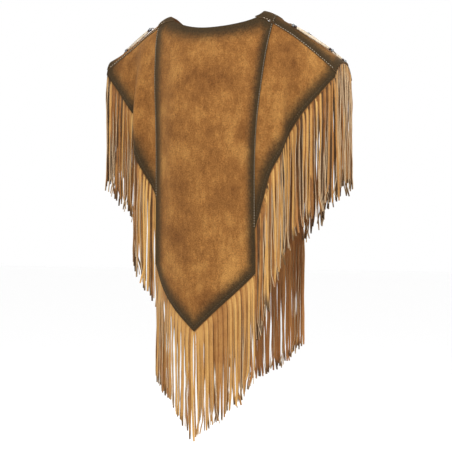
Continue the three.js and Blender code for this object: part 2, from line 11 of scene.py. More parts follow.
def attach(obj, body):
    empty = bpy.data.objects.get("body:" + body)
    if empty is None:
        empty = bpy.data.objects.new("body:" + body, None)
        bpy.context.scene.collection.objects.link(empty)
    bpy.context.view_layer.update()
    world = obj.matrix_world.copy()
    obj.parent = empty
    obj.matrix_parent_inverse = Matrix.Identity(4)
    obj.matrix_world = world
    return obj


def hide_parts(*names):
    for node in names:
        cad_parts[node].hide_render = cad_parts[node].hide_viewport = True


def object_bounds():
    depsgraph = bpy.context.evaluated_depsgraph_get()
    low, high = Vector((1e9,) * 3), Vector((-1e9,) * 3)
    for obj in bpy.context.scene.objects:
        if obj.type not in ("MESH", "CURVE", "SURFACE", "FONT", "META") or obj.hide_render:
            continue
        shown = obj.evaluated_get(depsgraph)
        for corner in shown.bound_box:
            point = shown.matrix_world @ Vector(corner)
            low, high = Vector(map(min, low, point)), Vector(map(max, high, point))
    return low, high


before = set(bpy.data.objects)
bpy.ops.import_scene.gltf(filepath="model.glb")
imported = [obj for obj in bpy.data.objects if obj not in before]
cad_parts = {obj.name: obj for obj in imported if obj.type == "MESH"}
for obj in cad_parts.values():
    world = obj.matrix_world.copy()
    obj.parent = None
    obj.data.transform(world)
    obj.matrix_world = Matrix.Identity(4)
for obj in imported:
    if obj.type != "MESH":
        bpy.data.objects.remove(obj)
cad_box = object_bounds()
MM = 0.001

# Camera and the photograph's frame
IMAGE_WIDTH = 452
FOCAL_PIXELS = 1487.6
PRINCIPAL_POINT = (217.65, 222.0)
CAMERA_AZIMUTH = math.radians(24)
CAMERA_DISTANCE = 3.6
CAMERA_TARGET = Vector((0, 0, -0.497))

# Suede and how its layers lie on each other
SUEDE = 1.8
LAYER = 2.5
LAP = 8
SEAM_ACROSS = 150
NECK_ACROSS = 123
STRAP_ACROSS = 94
BACK_NECK_DROP = 36
FRONT_NECK_DROP = 65

# Fringe strips behind the hems and the strands cut from them
STRIP_WIDTH = 6.5
STRIP_SHOWS = 1.5
STRIP_TURN = 8
SIDE_FRINGE = {"share": (0, 0.3, 0.55, 0.75, 1), "length": (266, 266, 256, 268, 290)}
V_FRINGE = {
    "share": (0, 0.25, 0.47, 0.5, 0.53, 0.75, 1),
    "back": (262, 234, 246, 262, 248, 258, 254),
    "front": (290, 258, 246, 250, 248, 264, 294),
}
# How the strands of a hem look: the gap between strip and panel, the strands' pitch and width, how
# far they swing out, their tone, how much it varies at random and how strongly painted shade darkens
# the inner layer of strands and painted light lightens the outer, how strongly they bunch and how
# late on their way down, half their thickness, and how far their edges turn out
V_LOOK = {
    "gap": 0.1,
    "pitch": 4.9,
    "width": 4.8,
    "swing": 5,
    "shade": 0.42,
    "tone_spread_and_layer_shade": 0.22,
    "bunching": 4.6,
    "late": 2.0,
    "half_depth": 0.75,
    "slant": 0.35,
}
SIDE_LOOK = {
    "gap": 1,
    "pitch": 5.2,
    "width": 4.7,
    "swing": 1.5,
    "shade": 0.20,
    "tone_spread_and_layer_shade": 0.46,
    "bunching": 9.0,
    "late": 0.35,
    "half_depth": 0.82,
    "slant": 0.5,
}

# The shoulder ridge of each side: how far across, how far forward, how high
RIGHT_RIDGE = {
    "across": (0, 123, 179, 240, 296),
    "forward": (0, 0, 27, 56, 82),
    "height": (0, 0, -30, -76, -120),
}
LEFT_RIDGE = {
    "across": (0, 123, 168, 230, 284, 310),
    "forward": (0, 0, 12, 32, 46, 46),
    "height": (0, 0, -20, -53, -81, -94),
}

# How the sheet falls from the ridge: where it hangs, and over what drop it rounds to the vertical
FORM = {
    "across": (0, 75, 150, 190, 230, 265, 300),
    "back": (-132, -118, -72, -48, -18, 0, 10),
    "backRoll": (330, 345, 370, 260, 160, 90, 56),
    "front": (205, 202, 187, 172, 158, 146, 134),
    "frontRoll": (300, 290, 250, 200, 150, 100, 64),
    "leftSeam": (14, 14, 12, 10, 11, 15, 22),
    "rightSeam": (14, 14, 17, 17, 19, 23, 28),
}
CENTRE_WIDTH = {
    "down": (0, 120, 290, 470, 605, 760),
    "back": (150, 142, 129, 127, 128, 128),
    "front": (150, 149, 148, 149, 150, 150),
}

# Heights of the hems
V_HEM = {
    "across": (0, 75, 120, 150),
    "backLeft": (-753, -692, -645, -596),
    "backRight": (-753, -690, -648, -617),
    "front": (-655, -596, -540, -505),
}
RIGHT_HEM = {
    "across": (150, 158, 174, 190, 208, 235, 268, 296),
    "back": (-515, -479, -392, -345, -300, -238, -191, -156),
    "front": (-282, -272, -254, -238, -222, -200, -179, -156),
}
LEFT_HEM = {
    "across": (150, 172, 191, 207, 222, 245, 276, 310),
    "back": (-440, -390, -334, -291, -254, -214, -170, -128),
    "front": (-282, -256, -235, -219, -204, -181, -152, -128),
}

# Folds of the side panels: side, face, across, width, sideways, out, and the depths below the
# neck where each begins and where it has its full size
FOLDS = (
    ("left", "back", 192, 20, 15, 23, 20, 270),
    ("left", "back", 220, 18, -7, -11, 60, 240),
    ("right", "back", 191, 14, 9, 9, 90, 290),
    ("right", "back", 211, 15, -8, -12, 90, 270),
    ("right", "back", 168, 10, 4, 5, 220, 400),
    ("left", "front", 190, 19, 7, 11, 70, 250),
    ("left", "front", 222, 19, -5, -8, 60, 230),
    ("right", "front", 196, 20, 8, 12, 80, 260),
    ("right", "front", 230, 19, -5, -8, 80, 240),
)

# Soft creases: face, then across and down at one end and at the other, width, and how far the
# middle stands out, below nought for a trough
CREASES = (
    ("back", -62, 150, -98, 420, 26, 2.6),
    ("back", 38, 110, 74, 330, 30, -2.2),
    ("back", 96, 240, 60, 520, 24, 2.4),
    ("back", -20, 380, -66, 600, 34, -2.6),
    ("back", 24, 520, 52, 680, 22, 2.2),
    ("back", -100, 300, -112, 560, 15, -1.8),
    ("back", 168, 70, 210, 190, 13, 2.4),
    ("back", 240, 110, 262, 190, 12, -2.0),
    ("back", -168, 90, -240, 150, 13, -2.2),
    ("back", -255, 95, -262, 170, 13, 2.2),
    ("back", -164, 240, -170, 380, 10, 2.0),
    ("front", -70, 140, -100, 420, 28, 2.8),
    ("front", 30, 120, 66, 360, 30, -2.6),
    ("front", 100, 220, 78, 470, 22, 2.2),
    ("front", -10, 330, -48, 560, 32, -2.4),
    ("front", 175, 90, 205, 180, 13, 2.0),
    ("front", -180, 80, -215, 165, 14, -2.0),
)

# Bone tubes on the shoulders, each between a dark and a silver bead at both ends
TUBE_LENGTH = 93
TUBE_RADIUS = 3.6
BORE = 1.7
BEAD_CLEAR = 0.3
TUBE_REST = 0.5
DARK_RADIUS = 3.4
DARK_LENGTH = 5
SILVER_RADIUS = 3.9
SILVER_LENGTH = 6.5
# The shoulder stretch beside each tube, and how far ahead of the ridge each of its ends lies
TUBES = (
    ("top", 186, 262, -9, 2),
    ("front", 206, 282, 26, 26),
)


# The form of the cloth
def mix(a, b, t):
    return a + (b - a) * t


def smooth_step(low, high, x):
    t = min(max((x - low) / (high - low), 0), 1)
    return t * t * (3 - 2 * t)


def curve_of(table, key, column, pointed=False):
    """A smooth curve through one column of a table, level beyond both ends."""
    at = table[key]
    value = table[column]
    last = len(at) - 1
    slope = []
    for i in range(last + 1):
        low = max(i - 1, 0)
        high = min(i + 1, last)
        level = i == 0 and at[0] == 0 and not pointed
        slope.append(0 if level else (value[high] - value[low]) / (at[high] - at[low]))

    def read(x):
        if x <= at[0]:
            return value[0]
        if x >= at[last]:
            return value[last]
        i = 0
        while x >= at[i + 1]:
            i += 1
        span = at[i + 1] - at[i]
        t = (x - at[i]) / span
        rise = t * t * (3 - 2 * t)
        leave = t * (1 - t) * (1 - t) * span * slope[i]
        arrive = t * t * (t - 1) * span * slope[i + 1]
        return value[i] + (value[i + 1] - value[i]) * rise + leave + arrive

    return read


FORM_CURVES = {name: curve_of(FORM, "across", name) for name in FORM if name != "across"}
WIDTH_CURVES = {name: curve_of(CENTRE_WIDTH, "down", name) for name in ("back", "front")}


class Side:
    """One half of the poncho: its ridge, its hems and the folds in its side panels."""

    def __init__(self, name, sign, neck_bend, ridge, hem, v_column):
        self.name = name
        self.sign = sign
        self.neck_bend = neck_bend
        self.tip = ridge["across"][-1]
        self.forward = curve_of(ridge, "across", "forward")
        self.height = curve_of(ridge, "across", "height")
        self.seam_drop = FORM_CURVES[name + "Seam"]
        self.hem = {face: curve_of(hem, "across", face) for face in ("back", "front")}
        self.v = {
            "back": curve_of(V_HEM, "across", v_column, True),
            "front": curve_of(V_HEM, "across", "front", True),
        }
        self.folds = {face: [f[2:] for f in FOLDS if f[:2] == (name, face)] for face in ("back", "front")}


RIGHT = Side("right", 1, 0.5, RIGHT_RIDGE, RIGHT_HEM, "backRight")
LEFT = Side("left", -1, 1, LEFT_RIDGE, LEFT_HEM, "backLeft")
CREASE_ROWS = {face: [c[1:] for c in CREASES if c[0] == face] for face in ("back", "front")}


def side_at(across):
    return LEFT if across < 0 else RIGHT


def crease_height(across, down, face):
    """How far the soft creases lift the sheet at one place."""
    height = 0
    for a0, d0, a1, d1, width, out in CREASE_ROWS[face]:
        run_across = a1 - a0
        run_down = d1 - d0
        t = ((across - a0) * run_across + (down - d0) * run_down) / (run_across**2 + run_down**2)
        if not -0.2 < t < 1.2:
            continue
        gap = math.hypot(across - a0 - t * run_across, down - d0 - t * run_down) / width
        if gap < 3:
            height += out * math.exp(-gap * gap) * smooth_step(-0.2, 0.3, t) * smooth_step(1.2, 0.7, t)
    return height


def cloth(across, along, side=None):
    """The underside of the cloth, in millimetres. along is counted over the shoulder from the
    ridge, positive down the front and negative down the back."""
    side = side or side_at(across)
    out = abs(across)
    face = "back" if along < 0 else "front"
    roll = FORM_CURVES[face + "Roll"](out)
    turn = min(abs(along) / roll, math.pi / 2)
    hang = max(0, abs(along) - roll * math.pi / 2)
    drop = roll * (1 - math.cos(turn)) + hang
    forward = side.forward(out)
    y = forward + (FORM_CURVES[face](out) - forward) * math.sin(turn)
    z = side.height(out) - drop
    width = WIDTH_CURVES[face](-z)
    beyond = max(0, (out - SEAM_ACROSS) / (side.tip - SEAM_ACROSS))
    x = out * width / SEAM_ACROSS if out < SEAM_ACROSS else out + (width - SEAM_ACROSS) * (1 - beyond)
    way = -1 if face == "back" else 1
    for fold_across, fold_width, sideways, fold_out, start, full in side.folds[face]:
        size = math.exp(-(((out - fold_across) / fold_width) ** 2)) * smooth_step(start, full, -z)
        x += sideways * size
        y += way * fold_out * size
    y += way * crease_height(across, -z, face)
    return Vector((side.sign * x, y, z))


def along_at_drop(out, drop, face):
    roll = FORM_CURVES[face + "Roll"](out)
    if drop < roll:
        along = roll * math.acos(1 - max(drop, 0) / roll)
    else:
        along = roll * math.pi / 2 + drop - roll
    return -along if face == "back" else along


def along_at_height(across, z, face, side=None):
    side = side or side_at(across)
    return along_at_drop(abs(across), side.height(abs(across)) - z, face)


def seam_along(across):
    return along_at_drop(abs(across), side_at(across).seam_drop(abs(across)), "back")


def sheet_frame(across, along, side=None):
    """A point of the sheet, its directions across and along, and the direction out of it."""
    side = side or side_at(across)
    step = 0.5
    sides = (LEFT, RIGHT) if across == 0 else (side, side)
    per_across = (cloth(across + step, along, sides[1]) - cloth(across - step, along, sides[0])) / (2 * step)
    per_along = (cloth(across, along + step, side) - cloth(across, along - step, side)) / (2 * step)
    return cloth(across, along, side), per_across, per_along, per_across.cross(per_along).normalized()


def lifted(across, along, height):
    origin, _, _, normal = sheet_frame(across, along)
    return origin + normal * height


# Making meshes
# The material slots of a piece of suede
OUTSIDE = 0
INSIDE = 1
CUT_EDGE = 2
# How many widths of the dye from an edge no dye shows any more, and how finely the edge is cut
NO_DYE = 3
DYE_STEP = 1.5


def new_piece(name, points, faces, materials, slots=None):
    """A mesh piece from points in millimetres."""
    mesh = bpy.data.meshes.new(name)
    mesh.from_pydata([p * MM for p in points], [], faces)
    for material in materials:
        mesh.materials.append(material)
    if slots:
        mesh.polygons.foreach_set("material_index", slots)
    piece = bpy.data.objects.new(name, mesh)
    bpy.context.scene.collection.objects.link(piece)
    mesh.update()
    return piece


def choose(piece):
    """Selects one piece alone and makes it active."""
    bpy.ops.object.select_all(action="DESELECT")
    piece.select_set(True)
    bpy.context.view_layer.objects.active = piece


def apply_modifier(piece, modifier):
    choose(piece)
    bpy.ops.object.modifier_apply(modifier=modifier.name)


def make_smooth(piece, degrees):
    """Turns a piece's faces outward and shades it smooth where they meet at less than an angle."""
    choose(piece)
    bpy.ops.object.mode_set(mode="EDIT")
    bpy.ops.mesh.select_all(action="SELECT")
    bpy.ops.mesh.normals_make_consistent(inside=False)
    bpy.ops.object.mode_set(mode="OBJECT")
    bpy.ops.object.shade_smooth_by_angle(angle=math.radians(degrees))


def evenly(start, end, step):
    """Numbers from start to end, about a step apart."""
    count = max(1, round(abs(end - start) / step))
    return [mix(start, end, i / count) for i in range(count + 1)]


def nearness(path):
    """A function that gives the distance from a point to a polyline, which is first cut finely."""
    points = [path[0]]
    for a, b in zip(path, path[1:]):
        pieces = max(1, math.ceil((b - a).length / DYE_STEP))
        points += [a.lerp(b, k / pieces) for k in range(1, pieces + 1)]
    tree = KDTree(len(points))
    for i, point in enumerate(points):
        tree.insert(point, i)
    tree.balance()
    return lambda point: tree.find(point)[2]


def suede_panel(part, grid, level, dyed, flat, area, rests_on):
    """A panel from a grid of (across, along) cells, None where it is open. dyed gives the cells of
    each dyed edge and the width of its dye."""
    name = part + "_suede"
    node = part + "_panel"
    top = level * LAYER + SUEDE
    cells = [cell for row in grid for cell in row]
    wide = len(grid[0])
    faces = []
    for i in range(len(grid) - 1):
        for k in range(i * wide, (i + 1) * wide - 1):
            loop = [k, k + 1, k + wide + 1, k + wide]
            if all(cells[corner] for corner in loop):
                faces.append(loop)
    used = sorted({k for face in faces for k in face})
    renumber = {old: now for now, old in enumerate(used)}
    faces = [[renumber[k] for k in face] for face in faces]
    places = [cells[k] for k in used]
    points = [lifted(*cell, top) for cell in places]
    a, b, _, d = faces[len(faces) // 2]
    normal = sheet_frame(*places[a])[3]
    if (points[b] - points[a]).cross(points[d] - points[a]).dot(normal) < 0:
        faces = [face[::-1] for face in faces]
    piece = new_piece(name, points, faces, (outer_suede, inner_suede, cut_suede))
    mesh = piece.data
    reaches = [(nearness([lifted(*cell, top) for cell in edge]), width) for edge, width in dyed]
    dye = mesh.attributes.new("dye", "FLOAT", "POINT")
    widths = [min(NO_DYE, *(near(p) / width for near, width in reaches)) for p in points]
    dye.data.foreach_set("value", widths)
    layer = mesh.uv_layers.new(name="cloth")
    for loop in mesh.loops:
        across, along = places[loop.vertex_index]
        layer.data[loop.index].uv = (across * MM, along * MM)
    mesh.polygons.foreach_set("use_smooth", [True] * len(mesh.polygons))
    wall = piece.modifiers.new("wall", "SOLIDIFY")
    wall.thickness = SUEDE * MM
    wall.offset = -1
    wall.use_even_offset = True
    wall.material_offset = INSIDE
    wall.material_offset_rim = CUT_EDGE
    apply_modifier(piece, wall)
    bpy.ops.object.shade_smooth_by_angle(angle=math.radians(50))
    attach(piece, "root")
    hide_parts(node)
    SHEETS.append((piece, flat, area, rests_on))


SHEETS = []
STEP_ACROSS = 2.7
STEP_DOWN = 3.0


def shares(length):
    return evenly(0, 1, STEP_DOWN / length)


# Materials
def feed(tree, value, socket):
    """Links a socket to an input, or sets the input's own value."""
    if isinstance(value, bpy.types.NodeSocket):
        tree.links.new(value, socket)
    else:
        socket.default_value = value


def fill(tree, node, **values):
    """Feeds the named inputs of a node. A name has _ where the input's has a space."""
    for name, value in values.items():
        feed(tree, value, node.inputs[name.replace("_", " ")])
    return node


def add(tree, kind, **values):
    return fill(tree, tree.nodes.new(kind), **values)


def new_material(name, look, *given, **more):
    """A material. Its look is a function of its tree and of where each point lies, and returns the
    inputs of its shader."""
    material = bpy.data.materials.new(name)
    material.use_nodes = True
    tree = material.node_tree
    place = tree.nodes.new("ShaderNodeTexCoord").outputs["Object"]
    fill(tree, tree.nodes["Principled BSDF"], **look(tree, place, *given, **more))
    return material


def attribute(tree, name):
    node = tree.nodes.new("ShaderNodeAttribute")
    node.attribute_name = name
    return node.outputs["Fac"]


def ramp(tree, factor, *stops):
    node = tree.nodes.new("ShaderNodeValToRGB")
    while len(node.color_ramp.elements) < len(stops):
        node.color_ramp.elements.new(0.5)
    for element, (at, colour) in zip(node.color_ramp.elements, stops):
        element.position = at
        element.color = (*colour, 1)
    tree.links.new(factor, node.inputs[0])
    return node.outputs[0]


def mixed(tree, factor, first, second, blend="MIX"):
    """Two colours mixed. Inputs 0, 6 and 7 of the node are the factor and the colours."""
    node = tree.nodes.new("ShaderNodeMix")
    node.data_type = "RGBA"
    node.blend_type = blend
    for at, value in ((0, factor), (6, first), (7, second)):
        feed(tree, value, node.inputs[at])
    return node.outputs[2]


def sums(tree, operation, *values, clamp=False):
    node = tree.nodes.new("ShaderNodeMath")
    node.operation = operation
    node.use_clamp = clamp
    for value, socket in zip(values, node.inputs):
        feed(tree, value, socket)
    return node.outputs[0]


def noise(tree, vector, scale, detail, roughness=0.55):
    node = add(tree, "ShaderNodeTexNoise", Vector=vector, Scale=scale, Detail=detail, Roughness=roughness)
    return node.outputs["Fac"]


def bump(tree, height, strength, distance):
    return add(tree, "ShaderNodeBump", Height=height, Strength=strength, Distance=distance).outputs[0]


def group_of(name, inputs, outputs):
    """An empty shader node group. Its inputs and outputs are given as names and kinds."""
    tree = bpy.data.node_groups.new(name, "ShaderNodeTree")
    for way, sockets in (("INPUT", inputs), ("OUTPUT", outputs)):
        for socket, kind in sockets.items():
            tree.interface.new_socket(socket, in_out=way, socket_type="NodeSocket" + kind)
    return tree, tree.nodes.new("NodeGroupInput").outputs, tree.nodes.new("NodeGroupOutput").inputs


def place_group(tree, group, **values):
    node = tree.nodes.new("ShaderNodeGroup")
    node.node_tree = group
    return fill(tree, node, **values).outputs


def make_nap():
    """Suede nap: broad brushed patches, mottling, short strokes and the height of the fibres."""
    tree, given, out = group_of(
        "suede nap",
        {"Vector": "Vector", "Patch Scale": "Float"},
        {"Patches": "Float", "Mottle": "Float", "Height": "Float"},
    )
    vector = given["Vector"]
    broad = noise(tree, vector, given["Patch Scale"], 4, 0.6)
    stretched = add(tree, "ShaderNodeMapping", Vector=vector, Scale=(1.0, 1.0, 0.3)).outputs[0]
    strokes = noise(tree, stretched, 130, 4, 0.6)
    mottle = noise(tree, vector, 420, 5, 0.68)
    fibres = noise(tree, vector, 1400, 2, 0.6)
    patches = sums(tree, "MULTIPLY_ADD", strokes, 0.28, sums(tree, "MULTIPLY", broad, 0.72))
    height = sums(tree, "MULTIPLY_ADD", fibres, 0.6, sums(tree, "MULTIPLY", mottle, 0.4))
    for name, value in (("Patches", patches), ("Mottle", mottle), ("Height", height)):
        tree.links.new(value, out[name])
    return tree


def make_edge_dye():
    """Sprayed dark dye that fades inward from an edge, a little uneven."""
    tree, given, out = group_of(
        "edge dye",
        {"Color": "Color", "Dye": "Color", "Distance": "Float", "Uneven": "Float", "Strength": "Float"},
        {"Color": "Color"},
    )
    nearer = sums(tree, "SUBTRACT", given["Distance"], 0.35)
    shifted = sums(tree, "MULTIPLY_ADD", given["Uneven"], 0.7, nearer)
    fade = tree.nodes.new("ShaderNodeMapRange")
    fade.interpolation_type = "SMOOTHERSTEP"
    fill(tree, fade, Value=shifted, From_Min=1.45, From_Max=0.15, To_Min=0.0, To_Max=1.0)
    mask = sums(tree, "MULTIPLY", fade.outputs[0], given["Strength"], clamp=True)
    tree.links.new(mixed(tree, mask, given["Color"], given["Dye"]), out["Color"])
    return tree


NAP = make_nap()
EDGE_DYE = make_edge_dye()
PANEL_PATCHES = 14.0
STRAND_PATCHES = 40.0


def outer_side(tree, place):
    nap = place_group(tree, NAP, Vector=place, Patch_Scale=PANEL_PATCHES)
    tans = ((0.35, (0.150, 0.059, 0.015)), (0.50, (0.238, 0.101, 0.026)), (0.65, (0.365, 0.176, 0.048)))
    specks = ((0.36, (0.56, 0.52, 0.46)), (0.50, (0.97, 0.97, 0.97)), (0.64, (1.4, 1.38, 1.3)))
    dyed = place_group(
        tree,
        EDGE_DYE,
        Color=ramp(tree, nap["Patches"], *tans),
        Dye=(0.034, 0.023, 0.011, 1),
        Distance=attribute(tree, "dye"),
        Uneven=noise(tree, place, 150, 5, 0.7),
        Strength=0.97,
    )
    return dict(
        Base_Color=mixed(tree, 0.95, dyed["Color"], ramp(tree, nap["Mottle"], *specks), "MULTIPLY"),
        Roughness=sums(tree, "MULTIPLY_ADD", nap["Mottle"], 0.15, 0.82, clamp=True),
        Sheen_Weight=0.1,
        Sheen_Roughness=0.5,
        Sheen_Tint=(0.85, 0.52, 0.24, 1),
        Specular_IOR_Level=0.1,
        Normal=bump(tree, nap["Height"], 0.7, 0.0014),
    )


def inner_side(tree, place):
    nap = place_group(tree, NAP, Vector=place, Patch_Scale=PANEL_PATCHES)
    tans = ((0.32, (0.165, 0.062, 0.017)), (0.52, (0.235, 0.096, 0.027)), (0.72, (0.300, 0.135, 0.042)))
    pores = add(tree, "ShaderNodeTexVoronoi", Vector=place, Scale=900)
    return dict(
        Base_Color=ramp(tree, nap["Patches"], *tans),
        Roughness=sums(tree, "MULTIPLY_ADD", nap["Mottle"], 0.25, 0.5),
        Specular_IOR_Level=0.35,
        Normal=bump(tree, pores.outputs["Distance"], 0.25, 0.0006),
    )


def strand_side(tree, place, roughness, *tans):
    """Strands darken to dyed tips. Their tone varies at random from one to the next, and painted shade
    darkens the inner layer of strands, to near black at the lowest stop.
    """
    nap = place_group(tree, NAP, Vector=place, Patch_Scale=STRAND_PATCHES)
    tone = sums(tree, "SUBTRACT", attribute(tree, "tone"), 0.2)
    shade = sums(tree, "MULTIPLY_ADD", nap["Patches"], 0.45, tone)
    # The lowest stop, near black, is painted shade for the gaps between strands
    base = ramp(tree, shade, (0.0, (0.075, 0.036, 0.015)), *zip((0.2, 0.5, 0.88), tans))
    speck = ramp(tree, nap["Mottle"], (0.32, (0.7, 0.68, 0.64)), (0.55, (1, 1, 1)))
    dyed = place_group(
        tree,
        EDGE_DYE,
        Color=mixed(tree, 0.8, base, speck, "MULTIPLY"),
        Dye=(0.050, 0.029, 0.015, 1),
        Distance=attribute(tree, "from_tip"),
        Uneven=noise(tree, place, 120, 4, 0.6),
        Strength=0.85,
    )
    return dict(
        Base_Color=dyed["Color"],
        Roughness=roughness,
        Sheen_Weight=0.15,
        Sheen_Roughness=0.5,
        Sheen_Tint=(0.95, 0.7, 0.42, 1),
        Specular_IOR_Level=0.2,
        Normal=bump(tree, nap["Height"], 0.4, 0.001),
    )


def polished_bone(tree, place):
    stains = noise(tree, place, 90, 5, 0.6)
    pits = noise(tree, place, 1100, 3, 0.6)
    base = ramp(tree, stains, (0.3, (0.62, 0.45, 0.27)), (0.5, (0.84, 0.69, 0.50)), (0.7, (0.90, 0.80, 0.64)))
    dots = ramp(tree, pits, (0.3, (0.55, 0.42, 0.28)), (0.42, (1, 1, 1)))
    return dict(
        Base_Color=mixed(tree, 0.7, base, dots, "MULTIPLY"),
        Roughness=sums(tree, "MULTIPLY_ADD", stains, 0.25, 0.22),
        Subsurface_Weight=0.15,
        Subsurface_Scale=0.002,
        Normal=bump(tree, pits, 0.15, 0.0004),
    )


def grained(tree, place, *stops, grain, rough, bumps=None, **values):
    """A look that follows one grain, given as the scale, detail and roughness of its noise. rough is
    one roughness, or how much of the grain goes into it and its least value."""
    fibres = noise(tree, place, *grain)
    if isinstance(rough, tuple):
        rough = sums(tree, "MULTIPLY_ADD", fibres, *rough)
    if bumps:
        values["Normal"] = bump(tree, fibres, *bumps)
    return dict(values, Base_Color=ramp(tree, fibres, *stops), Roughness=rough)


CUT = {"grain": (700, 5, 0.7), "rough": 0.95, "bumps": (0.5, 0.0008), "Specular_IOR_Level": 0.1}
THREAD = {"grain": (900, 3), "rough": 0.6, "bumps": (0.4, 0.0004)}

outer_suede = new_material("brushed suede", outer_side)
inner_suede = new_material("smooth inner side", inner_side)
dark, light = (0.09, 0.052, 0.026), (0.20, 0.125, 0.065)
cut_suede = new_material("cut suede edge", grained, (0.3, dark), (0.65, light), **CUT)
dark, light = (0.28, 0.17, 0.09), (0.60, 0.45, 0.28)
strand_cut = new_material("cut strand edge", grained, (0.3, dark), (0.65, light), **CUT)
dark, middle, light = (0.25, 0.100, 0.026), (0.44, 0.225, 0.066), (0.58, 0.335, 0.105)
strand_nap = new_material("strand nap side", strand_side, 0.85, dark, middle, light)
dark, middle, light = (0.23, 0.086, 0.023), (0.35, 0.148, 0.042), (0.46, 0.215, 0.066)
strand_grain = new_material("strand inner side", strand_side, 0.6, dark, middle, light)
dark, light = (0.48, 0.38, 0.26), (0.80, 0.70, 0.55)
light_thread = new_material("waxed thread", grained, (0.35, dark), (0.65, light), **THREAD)
dark, light = (0.055, 0.036, 0.02), (0.13, 0.085, 0.045)
dark_thread = new_material("dark thread", grained, (0.35, dark), (0.65, light), **THREAD)
bone = new_material("polished bone", polished_bone)
stops = ((0.35, (0.12, 0.12, 0.12)), (0.55, (0.42, 0.44, 0.46)), (0.7, (0.60, 0.62, 0.64)))
grain = {"grain": (420, 5, 0.65), "rough": (0.3, 0.15), "bumps": (0.2, 0.0004)}
silver = new_material("tarnished silver", grained, *stops, **grain, Metallic=1.0)
stops = ((0.35, (0.018, 0.008, 0.006)), (0.65, (0.075, 0.028, 0.018)))
grain = {"grain": (300, 4, 0.6), "rough": (0.2, 0.12)}
horn = new_material("dark horn bead", grained, *stops, **grain, Coat_Weight=0.4)
stops = ((0.35, (0.055, 0.032, 0.016)), (0.65, (0.15, 0.085, 0.04)))
grain = {"grain": (800, 4, 0.65), "rough": (0.3, 0.5), "bumps": (0.4, 0.0005)}
lace = new_material("leather lace", grained, *stops, **grain)


# Panels
def dyed_edges(grid, top, bottom, first=None, last=None):
    """The dyed edges of a grid, each as its cells and the width of its dye: its top and bottom rows
    and its first and last columns. None leaves an edge out."""
    columns = list(zip(*grid))
    edges = ((grid[0], top), (columns[0], first), (columns[-1], last), (grid[-1], bottom))
    return [([cell for cell in cells if cell], width) for cells, width in edges if width]


SIDE_STEP_ACROSS = 2.3
STRAP_DROPS = evenly(0, 42, STEP_DOWN)
STRAP_SHARES = evenly(1, 0, 0.2)
UNDER_SEAM = 0.55
CORNER_GAP = 4
CORNER_TAPER = (118, 142)


def side_columns(side):
    return [side.sign * out for out in evenly(SEAM_ACROSS - LAP, side.tip, SIDE_STEP_ACROSS)]


HALF = evenly(0, STRAP_ACROSS, STEP_ACROSS) + evenly(STRAP_ACROSS, SEAM_ACROSS, STEP_ACROSS)[1:]
CENTRE_COLUMNS = [-out for out in HALF[:0:-1]] + HALF


def back_side_grid(side):
    columns = []
    for across in side_columns(side):
        top = UNDER_SEAM * seam_along(across)
        hem = along_at_height(across, side.hem["back"](abs(across)), "back", side)
        columns.append([(across, mix(top, hem, f)) for f in shares(420)])
    return [list(row) for row in zip(*columns)]


def front_side_rows(across, side):
    out = abs(across)
    hem = along_at_height(across, side.hem["front"](out), "front", side)
    seam_hem = along_at_height(side.sign * SEAM_ACROSS, side.hem["front"](SEAM_ACROSS), "front", side)
    over = [along_at_drop(SEAM_ACROSS, drop, "front") / seam_hem * hem for drop in STRAP_DROPS[1:]]
    rest = [mix(over[-1], hem, f) for f in shares(240)[1:]]
    return [f * seam_along(across) for f in STRAP_SHARES] + over + rest


def front_side_grid(side):
    columns = [[(across, a) for a in front_side_rows(across, side)] for across in side_columns(side)]
    return [list(row) for row in zip(*columns)]


def back_centre_grid():
    columns = []
    for across in CENTRE_COLUMNS:
        out = abs(across)
        side = side_at(across)
        seam = seam_along(across)
        under = mix(UNDER_SEAM * seam, seam - CORNER_GAP, smooth_step(*CORNER_TAPER, out))
        neck = BACK_NECK_DROP * max(0, 1 - (out / NECK_ACROSS) ** 2) ** side.neck_bend
        top = min(along_at_height(across, -neck, "back"), under)
        seam_end = along_at_height(across, side.hem["back"](SEAM_ACROSS), "back")
        hem = along_at_height(across, side.v["back"](out), "back")
        column = [(across, mix(top, seam_end, f)) for f in shares(480)]
        column += [(across, mix(seam_end, hem, f)) for f in evenly(0, 1, 0.02)[1:]]
        columns.append(column)
    return [list(row) for row in zip(*columns)]


def neck_half_width(along, side):
    drop = -cloth(NECK_ACROSS, along).z
    share = (drop / BACK_NECK_DROP) ** (1 / side.neck_bend) if along < 0 else (drop / FRONT_NECK_DROP) ** 2
    return NECK_ACROSS * math.sqrt(max(0, 1 - share))


def front_centre_grid():
    seam_rows = front_side_rows(SEAM_ACROSS, RIGHT)
    strap_count = len(STRAP_SHARES) + len(STRAP_DROPS) - 1
    grid = []
    for i, along in enumerate(seam_rows[: strap_count - 1]):
        on_back = i < len(STRAP_SHARES)
        row = []
        for across in CENTRE_COLUMNS:
            sign = side_at(across).sign
            if abs(across) < STRAP_ACROSS:
                row.append(None)
                continue
            share = (abs(across) - STRAP_ACROSS) / (SEAM_ACROSS - STRAP_ACROSS)
            reach = STRAP_SHARES[i] * seam_along(sign * NECK_ACROSS) if on_back else along
            moved = sign * mix(neck_half_width(reach, side_at(across)), SEAM_ACROSS, share)
            row.append((moved, STRAP_SHARES[i] * seam_along(moved) if on_back else along))
        grid.append(row)
    start = seam_rows[strap_count - 1]
    end = seam_rows[-1]
    rows = [((along - start) / (end - start), 0) for along in seam_rows[strap_count - 1 :]]
    rows += [(1, low) for low in evenly(0, 1, 0.012)[1:]]
    for share, low in rows:
        row = []
        for across in CENTRE_COLUMNS:
            out = abs(across)
            side = side_at(across)
            neck = FRONT_NECK_DROP * math.sqrt(max(0, 1 - (out / NECK_ACROSS) ** 2))
            top = max(start, along_at_height(across, -neck, "front"))
            stop = along_at_height(across, side.hem["front"](SEAM_ACROSS), "front")
            hem = along_at_height(across, side.v["front"](out), "front")
            row.append((across, mix(mix(top, stop, share), hem, low)))
        grid.append(row)
    return grid


NECK_DYE = 41
STRAP_DYE = 62
